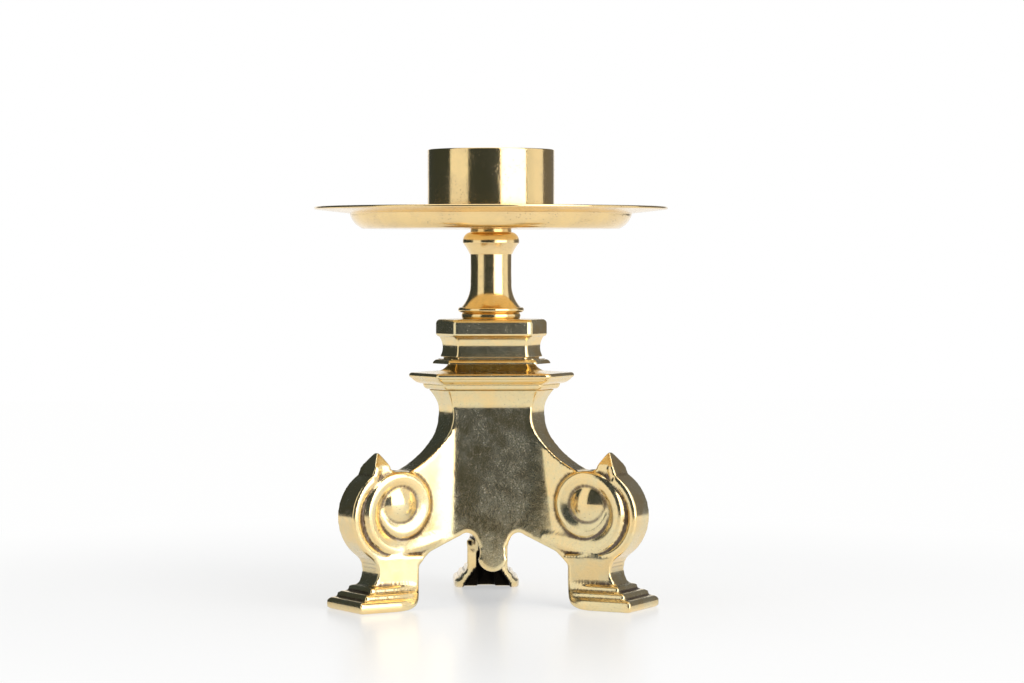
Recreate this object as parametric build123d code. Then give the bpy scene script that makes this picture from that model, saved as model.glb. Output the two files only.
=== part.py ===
"""Pricket candle stand: a cast and turned brass altar candlestick on a three-sided scroll-footed base.

Millimetres, +Z up. The axis of the stand is Z, the feet stand on Z = 0, and the front panel faces -Y.
"""

import math
import os

from build123d import *

# Base: three side castings, each a hollow panel with half a leg at either side.
# Only the front one has a pendant.
BASE_HEIGHT = 84.4
WALL = 1.9
TOP_WALL = 2.4
PANEL_FLAT_TOP = 15.0
PANEL_FLAT_FOOT = 18.4
PANEL_SWEEP_RADIUS_TOP = 9.0
PANEL_SWEEP_RADIUS_FOOT = 34.0
LEG_HALF_WIDTH = 5.3

# Leg outline, seen square to the leg: distance from the axis, then height.
NECK_REACH = 20.9
NECK_STRAIGHT = 9.9
NECK_CURVE_RADIUS = 14.5
NECK_CURVE_TURN = 38.0
SHOULDER_RADIUS = 41.0
SHOULDER_TURN = 27.0
SPUR_ROOT_REACH = 48.6
SPUR_ROOT_HEIGHT = 54.4
SPUR_BACK_BULGE = 0.4
SPUR_REACH = 52.0
SPUR_HEIGHT = 61.0
SPUR_TAPER_FOOT = 54.0
SPUR_TIP_HALF_WIDTH = 1.1
LEAF_END_ANGLE = 58.8
LEAF_BULGE = 0.7
SCROLL_REACH = 47.5
SCROLL_HEIGHT = 36.0
SCROLL_RADIUS = 18.7
SCROLL_END_ANGLE = -58.0
ANKLE_REACH = 55.2
ANKLE_HEIGHT = 16.2
INSTEP_REACH = 58.2

# Volute carved on each side of a leg, and the lip round it.
VOLUTE_REACH = 44.2
VOLUTE_INNER_RADIUS = 9.6
VOLUTE_OUTER_RADIUS = 13.15
VOLUTE_BOTTOM_HEIGHT = 23.7
RIBBON_WIDTH = 7.0
RIBBON_RISE = 1.8
RIBBON_ROLL = 2.0
RIBBON_ROOT_ANGLE = 15.0
RIBBON_ROOT_RADIUS = 8.4
RIBBON_ROOT_WIDTH = 1.4
RIBBON_ROOT_RISE = 0.15
FADE_LENGTH = 18.0
FADE_CLIMB = 3.7
FADE_WIDTH = 4.4
FADE_MIDDLE_RISE = 1.25
FADE_RISE = 1.1
EYE_REACH = 45.0
EYE_HEIGHT = 40.6
EYE_RADIUS = 8.0
EYE_RISE = 2.8
LIP_WIDTH = 3.6
LIP_RISE = 1.3
LIP_ROUNDING = 0.7
LIP_END_ANGLE = -115.0
RELIEF_ROOT = 1.0

# Foot: an ankle block that spreads inwards, over two steps and a toe slab.
ANKLE_HALF_WIDTH = 6.3
ANKLE_INNER_HALF_WIDTH = 8.6
FOOT_INNER_REACH = 36.0
FOOT_INNER_HALF_WIDTH = 9.6
SLAB_TOP = 4.6
SLAB_REACH = 67.1
SLAB_HALF_WIDTH = 13.5
SLAB_EDGE_ROUNDING = 1.7
SLAB_FOOT_ROUNDING = 0.9
STEP_HEIGHT = 2.4
STEP_SETBACK = 3.6
STEP_SIDE_SETBACK = 2.2
STEP_EDGE_ROUNDING = 0.9
FOOT_TAPER = 14.0
HEEL_ROUNDING_LENGTH = 12.0
HEEL_ROUNDING_HEIGHT = 5.0
FOOT_HOLLOW_REACH = 52.5
FOOT_HOLLOW_HALF_WIDTH = 9.4
FOOT_HOLLOW_STEP = 2.4

# Apron under each panel, seen from the front: half width, then height.
PLAIN_ARCH_HEIGHT = 29.5
ARCH_FOOT_HALF = 28.9
ARCH_FOOT_HEIGHT = 16.8
APRON_END_HALF = 24.6
APRON_END_HEIGHT = 21.4
ARCH_OUTER_HALF = 12.5
ARCH_OUTER_HEIGHT = 27.5
ARCH_TOP_HALF = 9.5
ARCH_TOP_HEIGHT = 28.5
ARCH_INNER_HALF = 7.1
ARCH_INNER_HEIGHT = 26.7
PENDANT_ROOT_HALF = 5.0
PENDANT_ROOT_HEIGHT = 22.0
PENDANT_NECK_HEIGHT = 19.4
PENDANT_SHOULDER_HALF = 5.8
PENDANT_SHOULDER_HEIGHT = 18.6
PENDANT_TIP_HEIGHT = 13.3
PENDANT_BULGE = 1.5

# Neck moulding round the top of the castings.
NECK_COVE_HEIGHT = 10.2
NECK_COVE_OUT = 3.9
NECK_COVE_HOLLOW = 1.1

# Cornice on the castings: a moulding that runs round a six-sided plan, from its band up to its flange.
CORNICE_FLAT = 15.0
CORNICE_CORNER = 21.2
CORNICE_DEPTH = 5.0
CORNICE_BAND_FOOT_OUT = 4.3
CORNICE_BAND_OUT = 5.5
CORNICE_BAND_BULGE = 0.35
CORNICE_BAND_HEIGHT = 2.0
CORNICE_OVOLO_HEIGHT = 2.3
CORNICE_OVOLO_BULGE = 0.55
CORNICE_SLAB_OUT = 9.6
CORNICE_SLAB_BULGE = 0.8
CORNICE_SLAB_HEIGHT = 2.1
CORNICE_SLAB_RISE = 0.5
CORNICE_SCOTIA_FOOT_OUT = 0.6
CORNICE_SCOTIA_OUT = -3.2
CORNICE_SCOTIA_HOLLOW = 0.6
CORNICE_SCOTIA_HEIGHT = 3.5
CORNICE_FLANGE_OUT = 2.2
CORNICE_FLANGE_TOP_OUT = 0.2
CORNICE_FLANGE_BULGE = 0.5
CORNICE_FLANGE_HEIGHT = 1.7
CORNICE_SEAT_HEIGHT = 0.2

# Plinth cap on the cornice, run round a smaller six-sided plan.
CAP_FLAT = 14.6
CAP_CORNER = 19.0
CAP_DEPTH = 5.0
CAP_FOOT_OUT = -0.3
CAP_FOOT_HEIGHT = 0.7
CAP_LIP_OUT = 0.75
CAP_LIP_HEIGHT = 0.5
CAP_COVE_HEIGHT = 7.4
CAP_COVE_HOLLOW = 1.0
CAP_SLAB_FOOT_OUT = 1.3
CAP_SLAB_OUT = 2.5
CAP_SLAB_FOOT_HEIGHT = 1.7
CAP_SLAB_FACE_HEIGHT = 3.5
CAP_SLAB_EDGE_OUT = 0.8
CAP_SLAB_EDGE_HEIGHT = 1.7
CAP_SLAB_BULGE = 0.45

# Stem, turned, with a loose collar under it: radius, then height of each moulding.
COLLAR_RADIUS = 11.1
COLLAR_BULGE = 0.6
COLLAR_HEIGHT = 2.5
STEM_FOOT_RADIUS = 12.6
STEM_FOOT_UNDERCUT = 0.7
STEM_FOOT_BULGE = 0.75
STEM_FOOT_HEIGHT = 2.0
STEM_BELL_RADIUS = 11.8
STEM_BELL_HOLLOW = 1.1
STEM_BELL_HEIGHT = 9.8
SHAFT_RADIUS = 8.15
SHAFT_HOLLOW = 0.1
SHAFT_HEIGHT = 11.2
BEAD_FOOT_RADIUS = 8.4
BEAD_RADIUS = 11.1
BEAD_UNDER_HOLLOW = 0.15
BEAD_UNDER_HEIGHT = 4.4
BEAD_OVER_BULGE = 0.95
BEAD_OVER_HEIGHT = 4.2
BEAD_TOP_RADIUS = 8.5
STEM_NECK_RADIUS = 8.1
STEM_NECK_HEIGHT = 1.4

# Drip pan, spun from sheet, and candle cup: both loose on the stem.
PAN_SHEET = 1.1
PAN_FLOOR_RADIUS = 50.5
PAN_WALL_RADIUS = 55.6
PAN_WALL_HEIGHT = 6.0
PAN_WALL_BULGE = 1.0
PAN_RIM_RADIUS = 69.6
PAN_RIM_RISE = 2.6
CUP_RADIUS = 25.0
CUP_HEIGHT = 30.0
CUP_WALL = 1.5
CUP_FLOOR = 1.6
CUP_EDGE_ROUNDING = 0.5

# Hidden fixing: a tie rod from the pricket down to a clamp plate, washer and nut in the base.
ROD_RADIUS = 3.0
ROD_CLEARANCE = 0.25
ROD_TAIL = 4.0
CLAMP_FLAT = 9.0
CLAMP_CORNER = 12.5
CLAMP_THICKNESS = 3.0
WASHER_RADIUS = 7.0
WASHER_THICKNESS = 1.2
NUT_ACROSS_FLATS = 10.0
NUT_HEIGHT = 5.0
PRICKET_BOSS_RADIUS = 6.0
PRICKET_BOSS_HEIGHT = 4.6
PRICKET_SPIKE_RADIUS = 3.0
PRICKET_SPIKE_HEIGHT = 19.0
PRICKET_TIP_RADIUS = 0.4
PRICKET_ROD_DEPTH = 3.0
LIFT_CLEARANCE = 0.4

# The three legs point to these bearings, and the panels lie between them.
LEG_BEARINGS = (-30.0, 90.0, 210.0)
HALF_SECTOR = 60.0
QUARTER_TURN = 90.0
PANEL_BEARING = -60.0
COS30 = math.cos(math.radians(30.0))

# Levels of the stacked pieces, bottom to top.
CORNICE_BAND_TOP = BASE_HEIGHT + CORNICE_BAND_HEIGHT
CORNICE_OVOLO_TOP = CORNICE_BAND_TOP + CORNICE_OVOLO_HEIGHT
CORNICE_SLAB_TOP = CORNICE_OVOLO_TOP + CORNICE_SLAB_HEIGHT
CORNICE_SCOTIA_TOP = CORNICE_SLAB_TOP + CORNICE_SCOTIA_HEIGHT
CORNICE_FLANGE_TOP = CORNICE_SCOTIA_TOP + CORNICE_FLANGE_HEIGHT
CAP_LEVEL = CORNICE_FLANGE_TOP + CORNICE_SEAT_HEIGHT
CAP_SLAB_LEVEL = CAP_LEVEL + CAP_FOOT_HEIGHT + CAP_LIP_HEIGHT + CAP_COVE_HEIGHT
CAP_FACE_LEVEL = CAP_SLAB_LEVEL + CAP_SLAB_FOOT_HEIGHT
CAP_EDGE_LEVEL = CAP_FACE_LEVEL + CAP_SLAB_FACE_HEIGHT
COLLAR_LEVEL = CAP_EDGE_LEVEL + CAP_SLAB_EDGE_HEIGHT
STEM_LEVEL = COLLAR_LEVEL + COLLAR_HEIGHT
RING_TOP = STEM_LEVEL + STEM_FOOT_HEIGHT
BELL_TOP = RING_TOP + STEM_BELL_HEIGHT
SHAFT_TOP = BELL_TOP + SHAFT_HEIGHT
BEAD_LEVEL = SHAFT_TOP + BEAD_UNDER_HEIGHT
BEAD_TOP = BEAD_LEVEL + BEAD_OVER_HEIGHT
PAN_LEVEL = BEAD_TOP + STEM_NECK_HEIGHT
CUP_LEVEL = PAN_LEVEL + PAN_SHEET
CLAMP_LEVEL = BASE_HEIGHT - TOP_WALL - CLAMP_THICKNESS
WASHER_LEVEL = CLAMP_LEVEL - WASHER_THICKNESS
NUT_LEVEL = WASHER_LEVEL - NUT_HEIGHT
ROD_BORE = ROD_RADIUS + ROD_CLEARANCE
OVERSHOOT = 5.0


def on_circle(centre, radius, degrees):
    """The point of a circle at a bearing."""
    turn = math.radians(degrees)
    return (centre[0] + radius * math.cos(turn), centre[1] + radius * math.sin(turn))


def spin(outline):
    """A turned piece, from its half outline in radius and height."""
    return revolve(Plane.XZ * make_face(outline), Axis.Z)


def rod_hole(low, high):
    """The bore for the tie rod through one piece, with room at both ends."""
    length = high - low + 2 * OVERSHOOT
    return Pos(0, 0, (low + high) / 2) * Cylinder(ROD_BORE, length)


def six_sided(flat, corner):
    """Corners of a triangle with its points cut off: long sides at distance flat, short ones at corner."""
    half = (flat - corner / 2) / COS30
    points = []
    for bearing in LEG_BEARINGS:
        points += [Vector(corner, side).rotate(Axis.Z, bearing) for side in (-half, half)]
    return points


def six_sided_prism(flat, corner, low, high):
    """An upright block with the six-sided plan."""
    plan = make_face(Polyline(*six_sided(flat, corner), close=True))
    return extrude(Pos(0, 0, low) * plan, high - low)


def run_moulding(flat, corner, profile):
    """A moulding swept round the six-sided plan, from a closed profile in outward offset and height."""
    points = six_sided(flat, corner)
    start = (points[0] + points[-1]) / 2
    path = Polyline(start, *points, start)
    section = Plane(origin=start, x_dir=(0, -1, 0), z_dir=(-1, 0, 0)) * make_face(profile)
    return sweep(section, path, transition=Transition.RIGHT)


def spur_leaf():
    """Back of the spur: a swelling curve from its point down to a notch on the scroll's circle."""
    notch = on_circle((SCROLL_REACH, SCROLL_HEIGHT), SCROLL_RADIUS, LEAF_END_ANGLE)
    return SagittaArc((SPUR_REACH, SPUR_HEIGHT), notch, LEAF_BULGE)


def leg_outline(inset):
    """Side view of a leg from the neck to the instep; an inset gives the hollow inside the same wall."""
    neck_centre = (NECK_REACH + NECK_CURVE_RADIUS, BASE_HEIGHT - NECK_STRAIGHT)
    turned = 180.0 + NECK_CURVE_TURN
    neck_end = on_circle(neck_centre, NECK_CURVE_RADIUS, turned)
    shoulder_centre = on_circle(neck_end, SHOULDER_RADIUS, turned - 180.0)
    scroll_centre = (SCROLL_REACH, SCROLL_HEIGHT)
    scroll_radius = SCROLL_RADIUS - inset
    roof = BASE_HEIGHT - (TOP_WALL if inset else 0.0)
    ground = -OVERSHOOT if inset else 0.0
    neck = CenterArc(neck_centre, NECK_CURVE_RADIUS + inset, 180.0, NECK_CURVE_TURN)
    shoulder = CenterArc(shoulder_centre, SHOULDER_RADIUS + inset, turned, SHOULDER_TURN)
    valley = on_circle(shoulder_centre, SHOULDER_RADIUS + inset, turned + SHOULDER_TURN)
    if inset:
        back = Line(valley, on_circle(scroll_centre, scroll_radius, LEAF_END_ANGLE))
    else:
        dip = TangentArc(valley, (SPUR_ROOT_REACH, SPUR_ROOT_HEIGHT), tangent=shoulder % 1)
        back = dip + SagittaArc(dip @ 1, (SPUR_REACH, SPUR_HEIGHT), SPUR_BACK_BULGE) + spur_leaf()
    scroll = CenterArc(scroll_centre, scroll_radius, LEAF_END_ANGLE, SCROLL_END_ANGLE - LEAF_END_ANGLE)
    heel = on_circle(scroll_centre, scroll_radius, SCROLL_END_ANGLE)
    step_top = SLAB_TOP + 2 * STEP_HEIGHT
    ankle = ThreePointArc(heel, (ANKLE_REACH - inset, ANKLE_HEIGHT), (INSTEP_REACH - inset, step_top))
    rest = Polyline(ankle @ 1, (INSTEP_REACH - inset, ground), (-OVERSHOOT, ground), (-OVERSHOOT, roof),
                    (NECK_REACH - inset, roof), neck @ 0)
    return Plane.XZ * make_face(neck + shoulder + back + scroll + ankle + rest)


def panel_block(inset):
    """Half of the plan between a leg's centre plane and the panel's middle, leaning in towards the top."""
    side = LEG_HALF_WIDTH - inset
    reach = SLAB_REACH + OVERSHOOT
    lean = (PANEL_FLAT_FOOT - PANEL_FLAT_TOP) / BASE_HEIGHT
    tightening = (PANEL_SWEEP_RADIUS_FOOT - PANEL_SWEEP_RADIUS_TOP) / BASE_HEIGHT
    sections = []
    for level in (-OVERSHOOT, BASE_HEIGHT + OVERSHOOT):
        flat = PANEL_FLAT_FOOT - lean * level - inset
        fold = (2 * (flat - side * COS30), -side)
        middle = on_circle((0, 0), flat, PANEL_BEARING)
        sweep_radius = PANEL_SWEEP_RADIUS_FOOT - tightening * level + inset
        outline = FilletPolyline((reach, -side), fold, middle, radius=sweep_radius)
        outline += Polyline(middle, (0, 0), (reach, 0), (reach, -side))
        sections.append(Pos(0, 0, level) * make_face(outline))
    return loft(sections, ruled=True)


def ribbon_section(centre, degrees, radius, width, rise):
    """Cross-section of the carved ribbon at a bearing round a centre; radius is that of its middle.

    Its outer edge rolls over quickly and its face falls away slowly to the groove.
    """
    seat = LEG_HALF_WIDTH
    outer = radius + width / 2
    inner = radius - width / 2
    crest = outer - RIBBON_ROLL * width / RIBBON_WIDTH
    roll = TangentArc((crest, seat + rise), (outer, seat), tangent=(1, 0))
    face = TangentArc((crest, seat + rise), (inner, seat), tangent=(-1, 0))
    sides = Polyline(roll @ 1, (outer, seat - RELIEF_ROOT), (inner, seat - RELIEF_ROOT), face @ 1)
    return across_leg(centre, degrees) * make_face(roll + face + sides)


def across_leg(centre, degrees):
    """The plane through a centre on the leg's side view that runs out at a bearing and across the leg."""
    turn = math.radians(degrees)
    return Plane(origin=(centre[0], 0, centre[1]), x_dir=(math.cos(turn), 0, math.sin(turn)),
                 z_dir=(math.sin(turn), 0, -math.cos(turn)))


def volute():
    """The carved scroll: a ribbon that grows out of a domed eye, makes two half turns and dies away."""
    low = (VOLUTE_REACH, VOLUTE_BOTTOM_HEIGHT + VOLUTE_OUTER_RADIUS)
    high = (VOLUTE_REACH, VOLUTE_BOTTOM_HEIGHT + 2 * VOLUTE_OUTER_RADIUS - VOLUTE_INNER_RADIUS)
    root = []
    for share in (0.0, 0.33, 0.67, 1.0):
        angle = share * (RIBBON_ROOT_ANGLE + QUARTER_TURN) - QUARTER_TURN
        width = RIBBON_WIDTH + share * (RIBBON_ROOT_WIDTH - RIBBON_WIDTH)
        radius = VOLUTE_INNER_RADIUS + share * (RIBBON_ROOT_RADIUS - VOLUTE_INNER_RADIUS)
        rise = RIBBON_RISE + share * (RIBBON_ROOT_RISE - RIBBON_RISE)
        root.append(ribbon_section(high, angle, radius, width, rise))
    top = ribbon_section(high, QUARTER_TURN, VOLUTE_INNER_RADIUS, RIBBON_WIDTH, RIBBON_RISE)
    end = ribbon_section(low, -QUARTER_TURN, VOLUTE_OUTER_RADIUS, RIBBON_WIDTH, RIBBON_RISE)
    halfway = ribbon_section((low[0] - FADE_LENGTH / 2, low[1] + FADE_CLIMB / 3), -QUARTER_TURN,
                             VOLUTE_OUTER_RADIUS, (RIBBON_WIDTH + FADE_WIDTH) / 2, FADE_MIDDLE_RISE)
    fade = ribbon_section((low[0] - FADE_LENGTH, low[1] + FADE_CLIMB), -QUARTER_TURN, VOLUTE_OUTER_RADIUS,
                          FADE_WIDTH, FADE_RISE)
    inner_turn = revolve(top, Axis((high[0], 0, high[1]), (0, 1, 0)), -180.0)
    outer_turn = revolve(top, Axis((low[0], 0, low[1]), (0, 1, 0)), 180.0)
    return inner_turn + outer_turn + loft(root) + loft([fade, halfway, end]) + eye_dome()


def eye_dome():
    """The low dome in the middle of the scroll, part of a ball."""
    crest = LEG_HALF_WIDTH + EYE_RISE
    root = LEG_HALF_WIDTH - RELIEF_ROOT
    dome = TangentArc((0, crest), (EYE_RADIUS, LEG_HALF_WIDTH), tangent=(1, 0))
    skirt = Polyline(dome @ 1, (EYE_RADIUS, root), (0, root), dome @ 0)
    upright = Plane(origin=(EYE_REACH, 0, EYE_HEIGHT), x_dir=(0, 0, 1), z_dir=(1, 0, 0))
    return revolve(upright * make_face(dome + skirt), Axis((EYE_REACH, 0, EYE_HEIGHT), (0, 1, 0)))


def scroll_lip():
    """The raised edge that runs from the spur's point down round the scroll to the back of the ankle."""
    centre = (SCROLL_REACH, SCROLL_HEIGHT)
    inner = SCROLL_RADIUS - LIP_WIDTH
    shoulder = LEG_HALF_WIDTH + LIP_RISE - LIP_ROUNDING
    edge = SagittaArc((inner, shoulder), (SCROLL_RADIUS, shoulder), LIP_ROUNDING)
    sides = Polyline(edge @ 1, (SCROLL_RADIUS, 0), (inner, 0), edge @ 0)
    axis = Axis((SCROLL_REACH, 0, SCROLL_HEIGHT), (0, 1, 0))
    section = across_leg(centre, LEAF_END_ANGLE) * make_face(edge + sides)
    band = revolve(section, axis, LEAF_END_ANGLE - LIP_END_ANGLE)
    leaf = spur_leaf()
    throat = on_circle(centre, inner, LEAF_END_ANGLE)
    ear = Plane.XZ * make_face(leaf + Polyline(leaf @ 1, throat, leaf @ 0))
    return band + extrude(ear, shoulder)


def spur_bevel():
    """What is taken off the side of the spur, so that it narrows to its tip."""
    side = LEG_HALF_WIDTH + LIP_RISE
    section = Polyline((-side, SPUR_TAPER_FOOT), (-SPUR_TIP_HALF_WIDTH, SPUR_HEIGHT),
                       (-SPUR_TIP_HALF_WIDTH, SPUR_HEIGHT + OVERSHOOT),
                       (-side - OVERSHOOT, SPUR_HEIGHT + OVERSHOOT),
                       (-side - OVERSHOOT, SPUR_TAPER_FOOT), close=True)
    across = Plane(origin=(SPUR_ROOT_REACH, 0, 0), x_dir=(0, 1, 0), z_dir=(1, 0, 0))
    return extrude(across * make_face(section), SLAB_REACH - SPUR_ROOT_REACH)


def foot_block(step):
    """One level of a foot: its plan narrows in a curve to the ankle, and its edges are rounded all round."""
    front = SLAB_REACH - step * STEP_SETBACK
    half = SLAB_HALF_WIDTH - step * STEP_SIDE_SETBACK
    bottom = SLAB_TOP + (step - 1) * STEP_HEIGHT if step else 0.0
    top = SLAB_TOP + step * STEP_HEIGHT
    back_half = min(half, FOOT_INNER_HALF_WIDTH) - STEP_EDGE_ROUNDING * step / 2
    curve = TangentArc((FOOT_INNER_REACH + FOOT_TAPER, -half), (FOOT_INNER_REACH, -back_half),
                       tangent=(-1, 0))
    outline = Polyline(curve @ 0, (front, -half), (front, 0), (FOOT_INNER_REACH, 0), curve @ 1)
    block = extrude(Pos(0, 0, bottom) * make_face(curve + outline), top - bottom)
    tread = block.faces().sort_by(Axis.Z)[-1]
    if step:
        return fillet(outer_edges(tread), STEP_EDGE_ROUNDING)
    slab = fillet(outer_edges(tread), SLAB_EDGE_ROUNDING)
    return fillet(outer_edges(slab.faces().sort_by(Axis.Z)[0]), SLAB_FOOT_ROUNDING)


def outer_edges(face):
    """The edges of a level face of a foot, without those on the leg's centre plane and at the back."""
    return [edge for edge in face.edges()
            if edge.center().X > FOOT_INNER_REACH + STEP_EDGE_ROUNDING and edge.center().Y < -OVERSHOOT]


def foot():
    """Half of a foot, cut at the leg's centre plane: ankle block, two steps and the toe slab."""
    ankle_plan = make_face(Polyline((FOOT_INNER_REACH, 0), (INSTEP_REACH, 0),
                                    (INSTEP_REACH, -ANKLE_HALF_WIDTH),
                                    (FOOT_INNER_REACH, -ANKLE_INNER_HALF_WIDTH), close=True))
    ankle = extrude(ankle_plan, SCROLL_HEIGHT - SCROLL_RADIUS + LIP_WIDTH)
    ankle &= extrude(leg_outline(0.0), SLAB_HALF_WIDTH)
    return ankle + foot_block(0) + foot_block(1) + foot_block(2)


def foot_hollow():
    """The space inside a foot, open below and behind."""
    narrow = ANKLE_HALF_WIDTH - WALL
    high = SLAB_TOP + 2 * STEP_HEIGHT
    section = Polyline((0, -OVERSHOOT), (-FOOT_HOLLOW_HALF_WIDTH, -OVERSHOOT),
                       (-FOOT_HOLLOW_HALF_WIDTH, FOOT_HOLLOW_STEP), (-narrow, high), (-narrow, ANKLE_HEIGHT),
                       (0, ANKLE_HEIGHT), close=True)
    return extrude(Plane.YZ * make_face(section), FOOT_HOLLOW_REACH)


def apron_gap(pendant):
    """The open arch under half a panel, seen from the front; a pendant may be left standing in its middle."""
    slope = Line((APRON_END_HALF, APRON_END_HEIGHT), (ARCH_OUTER_HALF, ARCH_OUTER_HEIGHT))
    if pendant:
        crown = ThreePointArc(slope @ 1, (ARCH_TOP_HALF, ARCH_TOP_HEIGHT),
                              (ARCH_INNER_HALF, ARCH_INNER_HEIGHT))
        drop = Polyline(crown @ 1, (PENDANT_ROOT_HALF, PENDANT_ROOT_HEIGHT),
                        (PENDANT_ROOT_HALF, PENDANT_NECK_HEIGHT),
                        (PENDANT_SHOULDER_HALF, PENDANT_SHOULDER_HEIGHT))
        edge = crown + drop + SagittaArc(drop @ 1, (0, PENDANT_TIP_HEIGHT), PENDANT_BULGE)
        middle = PENDANT_TIP_HEIGHT
    else:
        edge = TangentArc(slope @ 1, (0, PLAIN_ARCH_HEIGHT), tangent=slope % 1)
        middle = PLAIN_ARCH_HEIGHT
    heel = Spline((ARCH_FOOT_HALF + HEEL_ROUNDING_LENGTH, 0), (ARCH_FOOT_HALF, HEEL_ROUNDING_HEIGHT),
                  tangents=((-1, 0), (0, 1)))
    below = Polyline((0, middle), (0, -OVERSHOOT), (ARCH_FOOT_HALF + HEEL_ROUNDING_LENGTH, -OVERSHOOT),
                     heel @ 0)
    above = Polyline(heel @ 1, (ARCH_FOOT_HALF, ARCH_FOOT_HEIGHT), slope @ 0)
    return extrude(Plane.XZ * make_face(slope + edge + below + heel + above), SLAB_REACH + OVERSHOOT)


def sector():
    """The third of the plan that holds the front casting."""
    far = 2 * SLAB_REACH
    edges = [on_circle((0, 0), far, bearing) for bearing in (-90.0 - HALF_SECTOR, -90.0 + HALF_SECTOR)]
    plan = make_face(Polyline((0, 0), *edges, close=True))
    return extrude(Pos(0, 0, -OVERSHOOT) * plan, BASE_HEIGHT + 2 * OVERSHOOT)


def neck_cove():
    """The hollow moulding round the top of the three castings, under the cornice."""
    low = BASE_HEIGHT - NECK_COVE_HEIGHT
    curve = SagittaArc((0, low), (NECK_COVE_OUT, BASE_HEIGHT), NECK_COVE_HOLLOW)
    rest = Polyline(curve @ 1, (-RELIEF_ROOT, BASE_HEIGHT), (-RELIEF_ROOT, low), curve @ 0)
    return run_moulding(PANEL_FLAT_TOP, NECK_REACH, curve + rest)


def side_casting(pendant):
    """A casting at the front: panel, two half legs and feet, hollow behind, with a roof for the clamp."""
    half = panel_block(0.0) & extrude(leg_outline(0.0), SLAB_REACH)
    half += foot()
    half += scroll_lip()
    half += volute()
    half -= spur_bevel()
    half -= panel_block(WALL) & extrude(leg_outline(WALL), SLAB_REACH)
    half -= foot_hollow()
    half = half.rotate(Axis.Z, LEG_BEARINGS[0])
    half -= apron_gap(pendant)
    casting = half + mirror(half, Plane.YZ)
    casting += neck_cove() & sector()
    return casting - rod_hole(BASE_HEIGHT - TOP_WALL, BASE_HEIGHT)


def cornice():
    """The stepped cornice that covers the castings' tops: band, ovolo, slab, scotia and flange."""
    inner = -CORNICE_DEPTH
    band = SagittaArc((CORNICE_BAND_FOOT_OUT, BASE_HEIGHT), (CORNICE_BAND_OUT, CORNICE_BAND_TOP),
                      -CORNICE_BAND_BULGE)
    ovolo = SagittaArc(band @ 1, (CORNICE_SLAB_OUT, CORNICE_OVOLO_TOP), -CORNICE_OVOLO_BULGE)
    nose = SagittaArc(ovolo @ 1, (CORNICE_SLAB_OUT, CORNICE_SLAB_TOP), -CORNICE_SLAB_BULGE)
    top = Line(nose @ 1, (CORNICE_SCOTIA_FOOT_OUT, CORNICE_SLAB_TOP + CORNICE_SLAB_RISE))
    scotia = SagittaArc(top @ 1, (CORNICE_SCOTIA_OUT, CORNICE_SCOTIA_TOP), CORNICE_SCOTIA_HOLLOW)
    under = Line(scotia @ 1, (CORNICE_FLANGE_OUT, CORNICE_SCOTIA_TOP))
    flange = SagittaArc(under @ 1, (CORNICE_FLANGE_TOP_OUT, CORNICE_FLANGE_TOP), -CORNICE_FLANGE_BULGE)
    bed = Line((inner, BASE_HEIGHT), band @ 0)
    seat = Polyline(flange @ 1, (CORNICE_FLANGE_TOP_OUT, CAP_LEVEL), (inner, CAP_LEVEL), bed @ 0)
    profile = bed + band + ovolo + nose + top + scotia + under + flange + seat
    solid = run_moulding(CORNICE_FLAT, CORNICE_CORNER, profile)
    solid += six_sided_prism(CORNICE_FLAT + inner, CORNICE_CORNER + inner, BASE_HEIGHT, CAP_LEVEL)
    return solid - rod_hole(BASE_HEIGHT, CAP_LEVEL)


def plinth_cap():
    """The plinth cap: a small lip, a hollow die and a thick slab with a flat face and rounded edges."""
    inner = -CAP_DEPTH
    lip = CAP_LEVEL + CAP_FOOT_HEIGHT
    foot_line = Polyline((inner, CAP_LEVEL), (CAP_FOOT_OUT, CAP_LEVEL), (CAP_FOOT_OUT, lip),
                         (CAP_LIP_OUT, lip), (CAP_LIP_OUT, lip + CAP_LIP_HEIGHT))
    cove = SagittaArc(foot_line @ 1, (CAP_SLAB_FOOT_OUT, CAP_SLAB_LEVEL), CAP_COVE_HOLLOW)
    lower_edge = SagittaArc(cove @ 1, (CAP_SLAB_OUT, CAP_FACE_LEVEL), -CAP_SLAB_BULGE)
    face = Line(lower_edge @ 1, (CAP_SLAB_OUT, CAP_EDGE_LEVEL))
    upper_edge = SagittaArc(face @ 1, (CAP_SLAB_EDGE_OUT, COLLAR_LEVEL), -CAP_SLAB_BULGE)
    top = Polyline(upper_edge @ 1, (inner, COLLAR_LEVEL), (inner, CAP_LEVEL))
    profile = foot_line + cove + lower_edge + face + upper_edge + top
    solid = run_moulding(CAP_FLAT, CAP_CORNER, profile)
    solid += six_sided_prism(CAP_FLAT + inner, CAP_CORNER + inner, CAP_LEVEL, COLLAR_LEVEL)
    return solid - rod_hole(CAP_LEVEL, COLLAR_LEVEL)


def stem_collar():
    """The loose ring between the plinth cap and the stem."""
    edge = SagittaArc((COLLAR_RADIUS, COLLAR_LEVEL), (COLLAR_RADIUS, STEM_LEVEL), -COLLAR_BULGE)
    return spin(edge + Polyline(edge @ 1, (ROD_BORE, STEM_LEVEL), (ROD_BORE, COLLAR_LEVEL), edge @ 0))


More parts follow.
